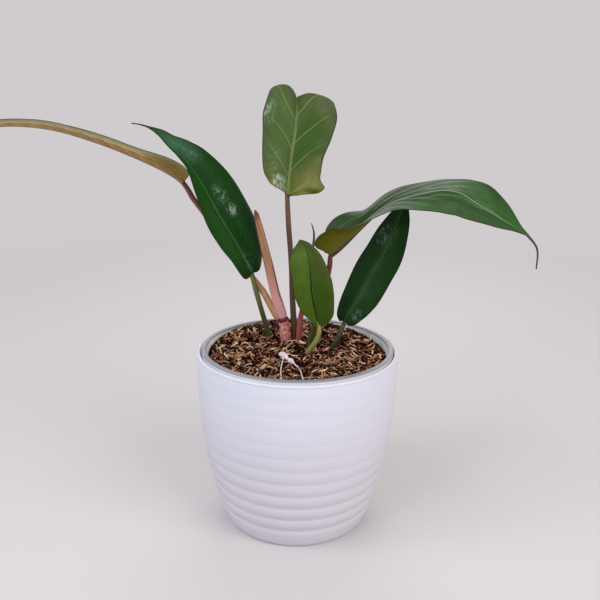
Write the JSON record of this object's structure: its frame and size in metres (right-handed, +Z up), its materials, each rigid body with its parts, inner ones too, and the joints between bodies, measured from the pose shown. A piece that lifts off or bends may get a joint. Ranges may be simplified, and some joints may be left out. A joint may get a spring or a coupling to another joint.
{
  "type": "potted philodendron",
  "caption": "Young philodendron with long glossy leaves on slender stalks, growing in bark mix in a nursery pot that stands inside a ribbed round cover pot.",
  "frame": {"origin": "centre of the cover pot's flat base, on the surface that it stands on", "axes": "+Z up along the pot's axis, +X to the right along the spread of the two long leaves, +Y to the back, where the mix is banked up"},
  "size_m": [0.4054, 0.14, 0.3012],
  "materials": {
    "cover_pot_white": "smooth satin",
    "nursery_pot_grey": "thin, slightly cloudy",
    "potting_mix": "loose, matt and coarse",
    "bark": "rough split wood",
    "stem_red": "wrinkled, satin",
    "new_leaf_pink": "smooth, satin",
    "stalk_red": "smooth, satin",
    "stalk_green": "smooth, satin",
    "leaf_bronze": "smooth, satin",
    "leaf_dark": "glossy with fine veins",
    "leaf_olive": "glossy with pale veins",
    "leaf_green": "satin with pale veins",
    "root_white": "smooth, matt"
  },
  "bodies": {
    "root": {"cover_pot": "cover_pot_white", "nursery_pot": "nursery_pot_grey", "potting_mix": "potting_mix", "main_stem": "stem_red", "new_leaf": "new_leaf_pink", "side_sheath": "new_leaf_pink", "long_left_stalk": "stalk_red", "dark_left_stalk": "stalk_green", "tall_back_stalk": "stalk_red", "long_right_stalk": "stalk_red", "small_front_stalk": "stalk_green", "dark_right_stalk": "stalk_green", "long_left_leaf": "leaf_bronze", "dark_left_leaf": "leaf_dark", "tall_back_leaf": "leaf_olive", "long_right_leaf": "leaf_green", "small_front_leaf": "leaf_olive", "dark_right_leaf": "leaf_dark", "surface_root": "root_white", "bark_chip_1": "bark", "bark_chip_2": "bark", "bark_chip_3": "bark", "bark_chip_4": "bark", "bark_chip_5": "bark", "bark_chip_6": "bark", "bark_chip_7": "bark", "bark_chip_8": "bark", "bark_chip_9": "bark", "bark_chip_10": "bark"}
  },
  "joints": []
}
